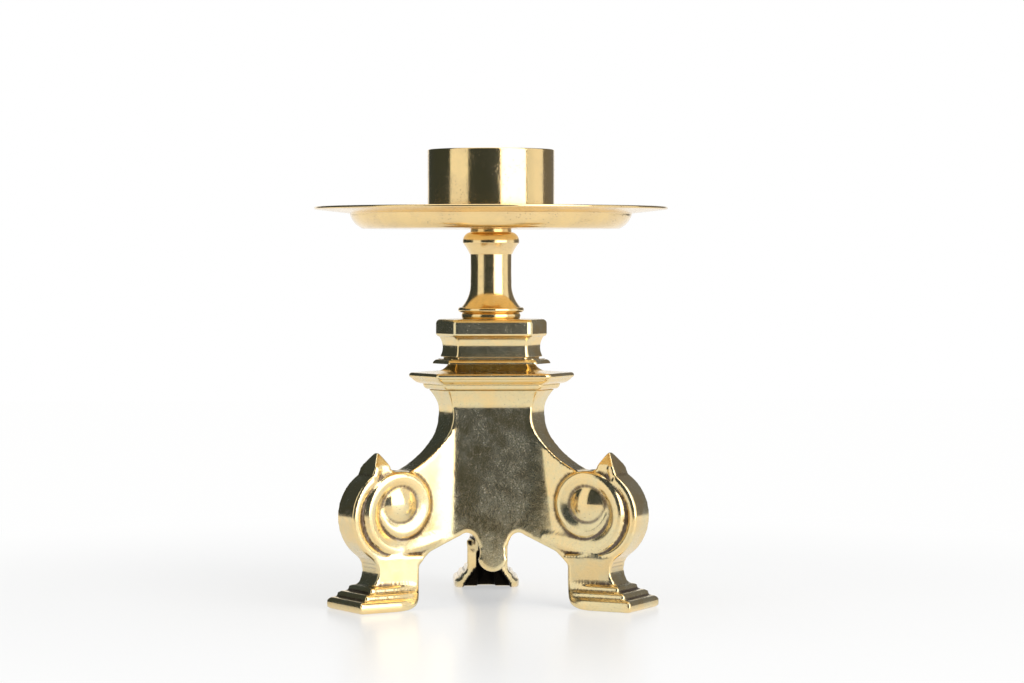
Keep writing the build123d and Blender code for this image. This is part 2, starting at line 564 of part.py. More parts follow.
def stem():
    """The turned stem: foot ring, bell, waisted shaft, bead and neck, bored for the tie rod."""
    ring = SagittaArc((STEM_FOOT_RADIUS - STEM_FOOT_UNDERCUT, STEM_LEVEL), (STEM_FOOT_RADIUS, RING_TOP),
                      -STEM_FOOT_BULGE)
    bell = SagittaArc((STEM_BELL_RADIUS, RING_TOP), (SHAFT_RADIUS, BELL_TOP), STEM_BELL_HOLLOW)
    shaft = SagittaArc(bell @ 1, (SHAFT_RADIUS, SHAFT_TOP), SHAFT_HOLLOW)
    under = SagittaArc((BEAD_FOOT_RADIUS, SHAFT_TOP), (BEAD_RADIUS, BEAD_LEVEL), BEAD_UNDER_HOLLOW)
    over = SagittaArc(under @ 1, (BEAD_TOP_RADIUS, BEAD_TOP), -BEAD_OVER_BULGE)
    outline = ring + Line(ring @ 1, bell @ 0) + bell + shaft + Line(shaft @ 1, under @ 0) + under + over
    outline += Polyline(over @ 1, (STEM_NECK_RADIUS, BEAD_TOP), (STEM_NECK_RADIUS, PAN_LEVEL),
                        (ROD_BORE, PAN_LEVEL), (ROD_BORE, STEM_LEVEL), ring @ 0)
    return spin(outline)


def drip_pan():
    """The drip pan: a flat floor, a raised wall and a wide sloping rim, one thickness of sheet throughout."""
    hole = PRICKET_BOSS_RADIUS + LIFT_CLEARANCE
    crease = PAN_LEVEL + PAN_WALL_HEIGHT
    rim = crease + PAN_RIM_RISE
    half = PAN_SHEET / 2
    floor = Line((hole, PAN_LEVEL), (PAN_FLOOR_RADIUS, PAN_LEVEL))
    wall = SagittaArc(floor @ 1, (PAN_WALL_RADIUS, crease), -PAN_WALL_BULGE)
    flange = Line(wall @ 1, (PAN_RIM_RADIUS - half, rim - PAN_SHEET))
    edge = SagittaArc(flange @ 1, (PAN_RIM_RADIUS - half, rim), -half)
    inside = Line(edge @ 1, (PAN_WALL_RADIUS - half, crease + PAN_SHEET))
    inner_wall = SagittaArc(inside @ 1, (PAN_FLOOR_RADIUS - half, CUP_LEVEL), PAN_WALL_BULGE)
    close = Polyline(inner_wall @ 1, (hole, CUP_LEVEL), floor @ 0)
    return spin(floor + wall + flange + edge + inside + inner_wall + close)


def candle_cup():
    """The short straight cup that holds the candle's foot, holed for the pricket."""
    hole = PRICKET_BOSS_RADIUS + LIFT_CLEARANCE
    bore = CUP_RADIUS - CUP_WALL
    top = CUP_LEVEL + CUP_HEIGHT
    inside = CUP_LEVEL + CUP_FLOOR
    outline = Polyline((hole, CUP_LEVEL), (CUP_RADIUS, CUP_LEVEL), (CUP_RADIUS, top), (bore, top),
                       (bore, inside), (hole, inside), close=True)
    solid = spin(outline)
    rim = solid.edges().group_by(Axis.Z)[-1]
    return fillet(rim, CUP_EDGE_ROUNDING)


def pricket():
    """The spike that the candle is pushed on, with a boss that centres the pan and the cup."""
    boss_top = PAN_LEVEL + PRICKET_BOSS_HEIGHT
    socket_top = PAN_LEVEL + PRICKET_ROD_DEPTH
    tip = boss_top + PRICKET_SPIKE_HEIGHT
    outline = Polyline((ROD_BORE, PAN_LEVEL), (PRICKET_BOSS_RADIUS, PAN_LEVEL),
                       (PRICKET_BOSS_RADIUS, boss_top), (PRICKET_SPIKE_RADIUS, boss_top),
                       (PRICKET_TIP_RADIUS, tip), (0, tip), (0, socket_top), (ROD_BORE, socket_top),
                       close=True)
    return spin(outline)


def tie_rod():
    """The rod that draws the whole stack together, from the pricket's socket to below the nut."""
    low = NUT_LEVEL - ROD_TAIL
    high = PAN_LEVEL + PRICKET_ROD_DEPTH
    return Pos(0, 0, (low + high) / 2) * Cylinder(ROD_RADIUS, high - low)


def clamp_plate():
    """The plate under the castings' roof that spreads the rod's pull."""
    top = CLAMP_LEVEL + CLAMP_THICKNESS
    return six_sided_prism(CLAMP_FLAT, CLAMP_CORNER, CLAMP_LEVEL, top) - rod_hole(CLAMP_LEVEL, top)


def washer():
    """The washer between the clamp plate and the nut."""
    ring = Circle(WASHER_RADIUS) - Circle(ROD_BORE)
    return extrude(Pos(0, 0, WASHER_LEVEL) * ring, WASHER_THICKNESS)


def nut():
    """The hexagon nut on the rod's tail."""
    plan = RegularPolygon(NUT_ACROSS_FLATS / 2, 6, major_radius=False) - Circle(ROD_BORE)
    return extrude(Pos(0, 0, NUT_LEVEL) * plan, NUT_HEIGHT)


plain_casting = side_casting(pendant=False)
pieces = {
    "side_panel_front": side_casting(pendant=True),
    "side_panel_right": plain_casting.rotate(Axis.Z, 2 * HALF_SECTOR),
    "side_panel_left": plain_casting.rotate(Axis.Z, -2 * HALF_SECTOR),
    "cornice": cornice(),
    "plinth_cap": plinth_cap(),
    "stem_collar": stem_collar(),
    "stem": stem(),
    "drip_pan": drip_pan(),
    "candle_cup": candle_cup(),
    "pricket": pricket(),
    "tie_rod": tie_rod(),
    "clamp_plate": clamp_plate(),
    "washer": washer(),
    "nut": nut(),
}

os.makedirs("parts", exist_ok=True)
for name, shape in pieces.items():
    export_step(shape, f"parts/{name}.step")
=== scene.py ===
import math

import bmesh
import bpy
import numpy as np
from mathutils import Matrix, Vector


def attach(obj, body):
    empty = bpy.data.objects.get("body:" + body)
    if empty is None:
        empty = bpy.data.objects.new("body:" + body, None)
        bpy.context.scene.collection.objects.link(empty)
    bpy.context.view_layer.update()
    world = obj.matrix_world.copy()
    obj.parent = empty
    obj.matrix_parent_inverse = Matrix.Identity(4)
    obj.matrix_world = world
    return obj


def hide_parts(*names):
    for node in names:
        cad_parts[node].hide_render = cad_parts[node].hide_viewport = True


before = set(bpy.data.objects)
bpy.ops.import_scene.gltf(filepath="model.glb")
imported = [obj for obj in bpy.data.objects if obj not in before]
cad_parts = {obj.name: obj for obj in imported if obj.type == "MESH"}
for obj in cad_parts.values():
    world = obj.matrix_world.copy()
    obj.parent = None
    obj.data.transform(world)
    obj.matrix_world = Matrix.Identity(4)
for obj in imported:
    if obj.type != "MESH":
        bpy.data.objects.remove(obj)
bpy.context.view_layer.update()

# Three side castings: hollow brass panels with half a scroll leg at either side, cast from carved patterns,
# brazed together down the middle of each leg, then filed and polished until their edges are soft.
# The seam faces are taken off, the three are rounded as one skin, and the skin is parted again at the legs.
LEG_BEARINGS = {"right": -30.0, "back": 90.0, "left": 210.0}
PANEL_BEARINGS = (-90.0, 30.0, 150.0)
CASTING_LEGS = {
    "side_panel_front": ("left", "right"),
    "side_panel_right": ("right", "back"),
    "side_panel_left": ("back", "left"),
}
CLEAN_BRASS = (0.90, 0.66, 0.31, 1.0)
GREENED_BRASS = (0.80, 0.665, 0.355, 1.0)
BROWN_TARNISH = (0.10, 0.055, 0.022, 1.0)
# Near-black for the castings' inner walls: the dull raw casting, darkened further as painted shade inside the
# hollow legs.
RAW_CASTING_AND_PAINTED_SHADE = (0.020, 0.016, 0.012, 1.0)
RAW_CASTING_ROUGHNESS = 0.6


def shown(name, mesh, material):
    """A mesh made into an object of the scene, in its material."""
    mesh.materials.clear()
    mesh.materials.append(material)
    made = bpy.data.objects.new(name, mesh)
    bpy.context.scene.collection.objects.link(made)
    return made


def node(tree, kind, inputs, settings=None):
    """A node with its settings, whose inputs are set to values or joined to other nodes' sockets."""
    made = tree.nodes.new(kind)
    for name, value in (settings or {}).items():
        setattr(made, name, value)
    for key, value in inputs.items():
        if isinstance(value, bpy.types.NodeSocket):
            tree.links.new(value, made.inputs[key])
        else:
            made.inputs[key].default_value = value
    return made


def calculate(tree, operation, first, second=0.0, third=0.0):
    """One sum on values."""
    values = {0: first, 1: second, 2: third}
    return node(tree, "ShaderNodeMath", values, {"operation": operation}).outputs[0]


def ramp(tree, value, low, high, start=0.0, end=1.0):
    """A value spread smoothly from one range to another, and held at its ends."""
    limits = {"Value": value, "From Min": low, "From Max": high, "To Min": start, "To Max": end}
    return node(tree, "ShaderNodeMapRange", limits, {"interpolation_type": "SMOOTHSTEP"}).outputs["Result"]


FIRST_COLOUR_INPUT = 6
SECOND_COLOUR_INPUT = 7
COLOUR_OUTPUT = 2


def mixed(tree, share, first, second):
    """Two colours mixed by a share."""
    inputs = {0: share, FIRST_COLOUR_INPUT: first, SECOND_COLOUR_INPUT: second}
    return node(tree, "ShaderNodeMix", inputs, {"data_type": "RGBA"}).outputs[COLOUR_OUTPUT]


# The wear: how close, how wide and how strong each kind of mark is on all the brass of the stand.
PATCH_SCALE = 85.0
PATCH_DETAIL = 5.0
PATCH_RAGGEDNESS = 0.6
PATCH_EDGES = (0.34, 0.66)
SCRATCH_SWAY = (0.014, 0.014, 0.014)
SCRATCH_TURNS = (0.35, 1.30, 2.40, 3.60)
SCRATCH_TILTS = (0.7, 1.3, 1.0)
SCRATCH_CLOSENESS = (2300.0, 100.0, 650.0)
SCRATCH_EDGES = (0.57, 0.66)
PIT_SCALE = 1000.0
PIT_EDGES = (0.24, 0.12)
PITTED_PATCHES = (0.45, 0.75)
PIT_STAIN = 0.8
STROKE_MIDDLE = 0.5
STROKE_STRENGTH = 1.2
BROWN_EDGES = (0.15, 0.95)
GROOVE_EDGES = (0.02, 0.30)
ROUGHER_IN_SCRATCHES = 0.03
ROUGHER_IN_PATCHES = 0.05
ROUGHER_IN_STAINS = 0.30
FILM_IN_PATCHES = (0.15, 0.75)
FILM_IN_SCRATCHES = 0.42
SCRATCH_HEIGHT = -0.12
PIT_HEIGHT = -1.0
PATCH_HEIGHT = 0.8


def brass_wear_group():
    """What years of use leave on brass: crossed scratches, pits, a dull film, and brown in the grooves."""
    tree = bpy.data.node_groups.new("brass wear", "ShaderNodeTree")
    for name in ("Groove", "Streak", "Pitting", "Dullness", "Film"):
        tree.interface.new_socket(name, in_out="INPUT", socket_type="NodeSocketFloat")
    tree.interface.new_socket("Handled", in_out="INPUT", socket_type="NodeSocketColor")
    tree.interface.new_socket("Colour", in_out="OUTPUT", socket_type="NodeSocketColor")
    for name in ("Roughness", "Film", "Height"):
        tree.interface.new_socket(name, in_out="OUTPUT", socket_type="NodeSocketFloat")
    given = tree.nodes.new("NodeGroupInput").outputs
    place = tree.nodes.new("ShaderNodeTexCoord").outputs["Object"]
    patches = node(tree, "ShaderNodeTexNoise", {"Vector": place, "Scale": PATCH_SCALE, "Detail": PATCH_DETAIL,
                                                "Roughness": PATCH_RAGGEDNESS})
    patch = ramp(tree, patches.outputs["Fac"], *PATCH_EDGES)
    sway = node(tree, "ShaderNodeVectorMath", {0: patches.outputs["Color"], 1: SCRATCH_SWAY},
                {"operation": "MULTIPLY"}).outputs[0]
    swayed = node(tree, "ShaderNodeVectorMath", {0: place, 1: sway}, {"operation": "ADD"}).outputs[0]
    scratches = 0.0
    for turn in SCRATCH_TURNS:
        lie = tuple(tilt * turn for tilt in SCRATCH_TILTS)
        along = node(tree, "ShaderNodeMapping", {"Vector": swayed, "Rotation": lie,
                                                 "Scale": SCRATCH_CLOSENESS})
        lines = node(tree, "ShaderNodeTexNoise", {"Vector": along.outputs[0], "Scale": 1.0, "Detail": 1.0})
        scratches = calculate(tree, "ADD", scratches, ramp(tree, lines.outputs["Fac"], *SCRATCH_EDGES))
    cells = node(tree, "ShaderNodeTexVoronoi", {"Vector": place, "Scale": PIT_SCALE}).outputs["Distance"]
    pits = calculate(tree, "MULTIPLY", ramp(tree, cells, *PIT_EDGES), ramp(tree, patch, *PITTED_PATCHES))
    pits = calculate(tree, "MULTIPLY", pits, given["Pitting"])
    stroke = calculate(tree, "SUBTRACT", given["Streak"], STROKE_MIDDLE)
    feather = calculate(tree, "MULTIPLY_ADD", stroke, STROKE_STRENGTH, given["Groove"])
    in_groove = ramp(tree, given["Groove"], *GROOVE_EDGES)
    brown = calculate(tree, "MULTIPLY", ramp(tree, feather, *BROWN_EDGES), in_groove)
    stained = calculate(tree, "MAXIMUM", brown, calculate(tree, "MULTIPLY", pits, PIT_STAIN))
    handled = mixed(tree, patch, CLEAN_BRASS, given["Handled"])
    colour = mixed(tree, stained, handled, BROWN_TARNISH)
    rough = calculate(tree, "MULTIPLY_ADD", scratches, ROUGHER_IN_SCRATCHES, given["Dullness"])
    rough = calculate(tree, "MULTIPLY_ADD", patch, ROUGHER_IN_PATCHES, rough)
    rough = calculate(tree, "MULTIPLY_ADD", stained, ROUGHER_IN_STAINS, rough)
    patch_film = ramp(tree, patch, 0.0, 1.0, *FILM_IN_PATCHES)
    film = calculate(tree, "MULTIPLY_ADD", scratches, FILM_IN_SCRATCHES, patch_film)
    film = calculate(tree, "MULTIPLY", film, given["Film"])
    film = calculate(tree, "MINIMUM", film, 1.0)
    pit_height = calculate(tree, "MULTIPLY", pits, PIT_HEIGHT)
    height = calculate(tree, "MULTIPLY_ADD", scratches, SCRATCH_HEIGHT, pit_height)
    height = calculate(tree, "MULTIPLY_ADD", patches.outputs["Fac"], PATCH_HEIGHT, height)
    result = tree.nodes.new("NodeGroupOutput")
    for name, socket in (("Colour", colour), ("Roughness", rough), ("Film", film), ("Height", height)):
        tree.links.new(socket, result.inputs[name])
    return tree


brass_wear = brass_wear_group()
FILM_ROUGHNESS = 0.40
FILM_REFRACTION = 1.9
RELIEF_DEPTH = 0.0001


def brass(name, handled, dullness, film, pitting, relief):
    """A brass finish, which is the wear group on a metal shader under a thin dull film, and its nodes."""
    made = bpy.data.materials.new(name)
    made.use_nodes = True
    tree = made.node_tree
    wear = node(tree, "ShaderNodeGroup", {}, {"node_tree": brass_wear})
    wear.inputs["Streak"].default_value = STROKE_MIDDLE
    wear.inputs["Handled"].default_value = handled
    wear.inputs["Dullness"].default_value = dullness
    wear.inputs["Film"].default_value = film
    wear.inputs["Pitting"].default_value = pitting
    bump = node(tree, "ShaderNodeBump", {"Height": wear.outputs["Height"], "Strength": relief,
                                         "Distance": RELIEF_DEPTH})
    shader = tree.nodes["Principled BSDF"]
    shader.inputs["Metallic"].default_value = 1.0
    shader.inputs["Coat Roughness"].default_value = FILM_ROUGHNESS
    shader.inputs["Coat IOR"].default_value = FILM_REFRACTION
    tree.links.new(wear.outputs["Colour"], shader.inputs["Base Color"])
    tree.links.new(wear.outputs["Roughness"], shader.inputs["Roughness"])
    tree.links.new(wear.outputs["Film"], shader.inputs["Coat Weight"])
    tree.links.new(bump.outputs["Normal"], shader.inputs["Normal"])
    return made, tree, wear, shader


cast_brass, cast_tree, cast_wear, cast_shader = brass("cast brass", GREENED_BRASS, dullness=0.11, film=0.85,
                                                      pitting=0.6, relief=0.10)
BROWN_STROKE_SCALE = 48.0
BROWN_STROKE_DETAIL = 3.0


def marked(name):
    """The outputs of a node that reads one of the marks on the castings' skin."""
    return node(cast_tree, "ShaderNodeAttribute", {}, {"attribute_name": name}).outputs


cast_strokes = node(cast_tree, "ShaderNodeTexNoise", {"Vector": marked("round_eye")["Vector"],
                                                      "Scale": BROWN_STROKE_SCALE,
                                                      "Detail": BROWN_STROKE_DETAIL})
cast_tree.links.new(marked("groove")["Fac"], cast_wear.inputs["Groove"])
cast_tree.links.new(cast_strokes.outputs["Fac"], cast_wear.inputs["Streak"])
# The inner walls take the near-black colour, which is painted shade in the hollows, and a rougher raw-casting
# finish with no film.
cast_inside = marked("inside")["Fac"]
cast_outside = calculate(cast_tree, "SUBTRACT", 1.0, cast_inside)
cast_colour = mixed(cast_tree, cast_inside, cast_wear.outputs["Colour"], RAW_CASTING_AND_PAINTED_SHADE)
cast_rough = calculate(cast_tree, "MULTIPLY_ADD", cast_inside, RAW_CASTING_ROUGHNESS,
                       cast_wear.outputs["Roughness"])
cast_film = calculate(cast_tree, "MULTIPLY", cast_outside, cast_wear.outputs["Film"])
cast_tree.links.new(cast_colour, cast_shader.inputs["Base Color"])
cast_tree.links.new(cast_rough, cast_shader.inputs["Roughness"])
cast_tree.links.new(cast_film, cast_shader.inputs["Coat Weight"])

# The skin: its grid, its polishing and its marks, in metres out from the axis and up from the floor.
SKIN_GRID = 0.0005
SEAM_SLACK = 2e-6
WELD_REACH = 2e-5
CUT_SLACK = 1e-7
POLISH_ROUNDS = 5
POLISH_SHARE = 0.5
WORN_ROUNDS = 6
WORN_SPUR_REACH = 0.043
WORN_SPUR_HEIGHT = 0.0565
WORN_FOOT_REACH = 0.036
WORN_FOOT_HEIGHT = 0.011
GROOVE_ROUNDS = 4
GROOVE_STRENGTH = 22.0
EYE_REACH = 0.0450
EYE_HEIGHT = 0.0406
SCROLL_START = 0.024
SHORTEST_LENGTH = 1e-6
SPUR_REACH = 0.040
SPUR_HEIGHT = 0.050
INNER_FACING_START = 0.2
INNER_FACING_SPAN = 0.2


def bearing_vector(degrees):
    """A level vector of length one that points to a bearing."""
    turn = math.radians(degrees)
    return Vector((math.cos(turn), math.sin(turn), 0.0))


def joined_castings():
    """One mesh of all three castings without the faces on the brazed seams."""
    shell = bmesh.new()
    for name in CASTING_LEGS:
        shell.from_mesh(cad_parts[name].data)
    bmesh.ops.remove_doubles(shell, verts=shell.verts, dist=SEAM_SLACK)
    seam = set()
    for bearing in LEG_BEARINGS.values():
        along = bearing_vector(bearing)
        across = Vector((-along.y, along.x, 0.0))
        for face in shell.faces:
            corners = [corner.co for corner in face.verts]
            on_plane = all(abs(corner.dot(across)) < SEAM_SLACK for corner in corners)
            if on_plane and all(corner.dot(along) > -SEAM_SLACK for corner in corners):
                seam.add(face)
    bmesh.ops.delete(shell, geom=list(seam), context="FACES")
    bmesh.ops.remove_doubles(shell, verts=shell.verts, dist=WELD_REACH)
    mesh = bpy.data.meshes.new("castings as cast")
    shell.to_mesh(mesh)
    shell.free()
    return mesh


def evenly_gridded(mesh, grid):
    """The same solid skinned with small even faces."""
    rough_form = bpy.data.objects.new("casting pattern", mesh)
    bpy.context.scene.collection.objects.link(rough_form)
    skin = rough_form.modifiers.new("even skin", "REMESH")
    skin.mode = "VOXEL"
    skin.voxel_size = grid
    graph = bpy.context.evaluated_depsgraph_get()
    result = bpy.data.meshes.new_from_object(rough_form.evaluated_get(graph))
    bpy.data.objects.remove(rough_form)
    return result


def neighbour_means(points, edges, counts):
    """For each point the mean of the points that it shares an edge with."""
    total = np.zeros_like(points)
    np.add.at(total, edges[:, 0], points[edges[:, 1]])
    np.add.at(total, edges[:, 1], points[edges[:, 0]])
    return total / counts


def polish(mesh):
    """Softens every edge, the spurs and feet most, and gives the points, their edges and edge counts."""
    points = np.empty(len(mesh.vertices) * 3, np.float32)
    mesh.vertices.foreach_get("co", points)
    points = points.reshape(-1, 3).astype(np.float64)
    edges = np.empty(len(mesh.edges) * 2, np.int32)
    mesh.edges.foreach_get("vertices", edges)
    edges = edges.reshape(-1, 2)
    counts = np.maximum(np.bincount(edges.ravel(), minlength=len(points)), 1).reshape(-1, 1)
    reach = np.linalg.norm(points[:, :2], axis=1)
    height = points[:, 2]
    worn_spur = (reach > WORN_SPUR_REACH) & (height > WORN_SPUR_HEIGHT)
    worn_foot = (reach > WORN_FOOT_REACH) & (height < WORN_FOOT_HEIGHT)
    everywhere = np.full(len(points), POLISH_SHARE)
    where_worn = everywhere * (worn_spur | worn_foot)
    for share in [everywhere] * POLISH_ROUNDS + [where_worn] * WORN_ROUNDS:
        points += share[:, None] * (neighbour_means(points, edges, counts) - points)
    points[:, 2] = np.maximum(points[:, 2], 0.0)
    mesh.vertices.foreach_set("co", points.astype(np.float32).ravel())
    mesh.update()
    return points, edges, counts


def mark(mesh, points, edges, counts):
    """Marks the grooves, the bearings round the scrolls' eyes and the inner walls, for the brass to show; the
    inner walls are painted near-black as painted shade.
    """
    normals = np.empty(len(points) * 3, np.float32)
    mesh.vertex_normals.foreach_get("vector", normals)
    normals = normals.reshape(-1, 3)
    dip = neighbour_means(points, edges, counts) - points
    hollow = (dip * normals).sum(axis=1, keepdims=True) / SKIN_GRID
    for _ in range(GROOVE_ROUNDS):
        hollow = neighbour_means(hollow, edges, counts)
    depth = np.clip(hollow.ravel() * GROOVE_STRENGTH, 0.0, 1.0)
    groove = mesh.attributes.new("groove", "FLOAT", "POINT")
    groove.data.foreach_set("value", depth.astype(np.float32))
    turn = np.zeros_like(points)
    for bearing in LEG_BEARINGS.values():
        along_leg = points @ np.array(bearing_vector(bearing))
        on_scroll = along_leg > SCROLL_START
        offset = np.stack([along_leg - EYE_REACH, points[:, 2] - EYE_HEIGHT], axis=1)
        length = np.maximum(np.linalg.norm(offset, axis=1), SHORTEST_LENGTH)
        turn[on_scroll, :2] = (offset / length[:, None])[on_scroll]
    round_eye = mesh.attributes.new("round_eye", "FLOAT_VECTOR", "POINT")
    round_eye.data.foreach_set("vector", turn.astype(np.float32).ravel())
    # The inner walls are the faces turned towards the axis, leaving out the spurs; the shader paints shade on
    # them.
    outwards = np.array([bearing_vector(bearing) for bearing in PANEL_BEARINGS])
    nearest = np.argmax(points @ outwards.T, axis=1)
    facing_in = -(normals * outwards[nearest]).sum(axis=1)
    on_spur = (np.linalg.norm(points[:, :2], axis=1) > SPUR_REACH) & (points[:, 2] > SPUR_HEIGHT)
    within = np.clip((facing_in - INNER_FACING_START) / INNER_FACING_SPAN, 0.0, 1.0) * ~on_spur
    inside = mesh.attributes.new("inside", "FLOAT", "POINT")
    inside.data.foreach_set("value", within.astype(np.float32))


def parted(mesh, legs):
    """The third of the skin between two legs, closed with a flat wall along each seam."""
    part = bmesh.new()
    part.from_mesh(mesh)
    for side, leg in zip((-1.0, 1.0), legs):
        along = bearing_vector(LEG_BEARINGS[leg])
        outward = side * Vector((-along.y, along.x, 0.0))
        whole = part.verts[:] + part.edges[:] + part.faces[:]
        cut = bmesh.ops.bisect_plane(part, geom=whole, dist=CUT_SLACK, plane_co=(0, 0, 0), plane_no=outward,
                                     clear_outer=True)
        rim = [item for item in cut["geom_cut"] if isinstance(item, bmesh.types.BMEdge)]
        bmesh.ops.triangle_fill(part, use_beauty=True, edges=rim, normal=outward)
        for edge in rim:
            if edge.is_valid:
                edge.smooth = False
    result = bpy.data.meshes.new("side casting")
    part.to_mesh(result)
    part.free()
    return result


skin = evenly_gridded(joined_castings(), SKIN_GRID)
mark(skin, *polish(skin))
for casting, legs in CASTING_LEGS.items():
    panel = shown(casting.replace("side_panel", "side_casting"), parted(skin, legs), cast_brass)
    panel.data.shade_smooth()
    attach(panel, "stand")
    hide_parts(casting)

# Clamp plate, washer, nut and tie rod: plain steel inside the base, out of sight from above.
# The rod runs up through the whole stack and the nut draws it tight.
DARK_STEEL = (0.22, 0.20, 0.18, 1.0)
BRIGHT_STEEL = (0.55, 0.55, 0.56, 1.0)
STEEL_GRAIN_SCALE = 900.0
STEEL_GRAIN_DETAIL = 4.0
STEEL_GRAIN_EDGES = (0.3, 0.7)
STEEL_ROUGHNESS = (0.55, 0.32)
dull_steel = bpy.data.materials.new("dull steel")
dull_steel.use_nodes = True
steel_tree = dull_steel.node_tree
steel_shader = steel_tree.nodes["Principled BSDF"]
steel_place = steel_tree.nodes.new("ShaderNodeTexCoord").outputs["Object"]
steel_grain = node(steel_tree, "ShaderNodeTexNoise", {"Vector": steel_place, "Scale": STEEL_GRAIN_SCALE,
                                                      "Detail": STEEL_GRAIN_DETAIL}).outputs["Fac"]
steel_shade = node(steel_tree, "ShaderNodeValToRGB", {"Fac": steel_grain})
steel_shade.color_ramp.elements[0].color = DARK_STEEL
steel_shade.color_ramp.elements[1].color = BRIGHT_STEEL
steel_rough = ramp(steel_tree, steel_grain, *STEEL_GRAIN_EDGES, *STEEL_ROUGHNESS)
steel_tree.links.new(steel_shade.outputs["Color"], steel_shader.inputs["Base Color"])
steel_tree.links.new(steel_rough, steel_shader.inputs["Roughness"])
steel_shader.inputs["Metallic"].default_value = 1.0
for name in ("clamp_plate", "washer", "nut", "tie_rod"):
    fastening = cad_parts[name]
    fastening.data.materials.clear()
    fastening.data.materials.append(dull_steel)

# Cornice: a brass casting that covers the tops of the panels, with band, ovolo, thin slab, scotia and flange.
# Its moulding runs round a triangle with cut corners, polished roundest where they stand out most.
# Its points are in millimetres, out from the plan and up from the floor, and a negative bow bulges.
MILLIMETRE = 0.001
CORNICE_PLAN = (15.0, 21.2)
CORNICE_CORNER_ROUNDING = 1.4
CORNICE_CORNER_GROWTH = 0.15
BAND_FOOT = (4.3, 84.4)
BAND_TOP = (5.5, 86.4)
OVOLO_TOP = (9.6, 88.7)
SLAB_TOP = (9.6, 90.8)
SCOTIA_FOOT = (0.6, 91.3)
SCOTIA_TOP = (-3.2, 94.3)
FLANGE_FOOT = (2.2, 94.3)
FLANGE_TOP = (0.2, 96.0)
CORNICE_TOP = (0.2, 96.2)
STRAIGHT = 1e-9
FLAT_BEND = 0.30
LONGEST_CUT = 0.45
ROUNDING_STEPS = 5
SIDE_TURN = 60.0
MOULDING_CREASE = 0.7


def bowed(start, end, bow, steps=10):
    """Points of a flat arc from start to end that stands off its chord by bow, to the left if positive."""
    across = end[0] - start[0]
    up = end[1] - start[1]
    chord = math.hypot(across, up)
    if abs(bow) < STRAIGHT:
        return [start, end]
    radius = (chord * chord / 4.0 + bow * bow) / (2.0 * abs(bow))
    half_turn = 2.0 * math.atan2(abs(bow), chord / 2.0)
    points = []
    for step in range(steps + 1):
        turn = half_turn * (2.0 * step / steps - 1.0)
        forward = chord / 2.0 + radius * math.sin(turn)
        aside = radius * math.cos(turn) - radius * math.cos(half_turn)
        aside = math.copysign(aside, bow)
        points.append((start[0] + (across * forward - up * aside) / chord,
                       start[1] + (up * forward + across * aside) / chord))
    return points


def softened(points, radius, closed=False):
    """A profile whose sharp corners are rounded off; flat bends stay as they are."""
    count = len(points)
    result = []
    for index in range(count):
        here = Vector(points[index])
        if not closed and index in (0, count - 1):
            result.append(tuple(here))
            continue
        before = Vector(points[index - 1]) - here
        after = Vector(points[(index + 1) % count]) - here
        bend = math.pi - before.angle(after)
        if bend < FLAT_BEND:
            result.append(tuple(here))
            continue
        reach = min(radius * math.tan(bend / 2.0), LONGEST_CUT * before.length, LONGEST_CUT * after.length)
        start = here + before.normalized() * reach
        end = here + after.normalized() * reach
        for step in range(ROUNDING_STEPS + 1):
            share = step / ROUNDING_STEPS
            result.append(tuple((1 - share) ** 2 * start + 2 * share * (1 - share) * here + share ** 2 * end))
    return result


def rounded_plan(plan, out, rounding, steps=12):
    """Corners of the six-sided plan pushed out by a distance, each rounded."""
    sides = []
    for bearing in PANEL_BEARINGS:
        sides += [(bearing, plan[0] + out), (bearing + SIDE_TURN, plan[1] + out)]
    ring = []
    for index, (bearing, distance) in enumerate(sides):
        next_distance = sides[(index + 1) % len(sides)][1]
        first = bearing_vector(bearing)
        second = bearing_vector(bearing + SIDE_TURN)
        near_line = distance - rounding
        far_line = next_distance - rounding
        determinant = first.x * second.y - first.y * second.x
        centre = Vector(((near_line * second.y - far_line * first.y) / determinant,
                         (far_line * first.x - near_line * second.x) / determinant, 0.0))
        for step in range(steps + 1):
            ring.append(centre + rounding * bearing_vector(bearing + SIDE_TURN * step / steps))
    return ring


def run_moulding(name, plan, profile, rounding, growth):
    """A closed mesh of a moulding run round the six-sided plan, with flat ends above and below."""
    solid = bmesh.new()
    rings = []
    for out, level in profile:
        corner = rounding + growth * max(out, 0.0)
        rings.append([solid.verts.new((point.x * MILLIMETRE, point.y * MILLIMETRE, level * MILLIMETRE))
                      for point in rounded_plan(plan, out, corner)])
    for lower, upper in zip(rings, rings[1:]):
        for index in range(len(lower)):
            ahead = (index + 1) % len(lower)
            solid.faces.new((lower[index], lower[ahead], upper[ahead], upper[index]))
    solid.faces.new(reversed(rings[0]))
    solid.faces.new(rings[-1])
    mesh = bpy.data.meshes.new(name)
    solid.to_mesh(mesh)
    solid.free()
    mesh.shade_smooth()
    mesh.set_sharp_from_angle(angle=MOULDING_CREASE)
    return mesh


cornice_profile = bowed(BAND_FOOT, BAND_TOP, bow=-0.35)
cornice_profile += bowed(BAND_TOP, OVOLO_TOP, bow=-0.55)[1:]
cornice_profile += bowed(OVOLO_TOP, SLAB_TOP, bow=-0.8)[1:]
cornice_profile += bowed(SCOTIA_FOOT, SCOTIA_TOP, bow=0.6)
cornice_profile += bowed(FLANGE_FOOT, FLANGE_TOP, bow=-0.5)
cornice_profile.append(CORNICE_TOP)
cornice_mesh = run_moulding("cornice_moulding", CORNICE_PLAN, softened(cornice_profile, radius=0.35),
                            CORNICE_CORNER_ROUNDING, CORNICE_CORNER_GROWTH)
cornice = shown("cornice_moulding", cornice_mesh, cast_brass)
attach(cornice, "stand")
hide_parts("cornice")

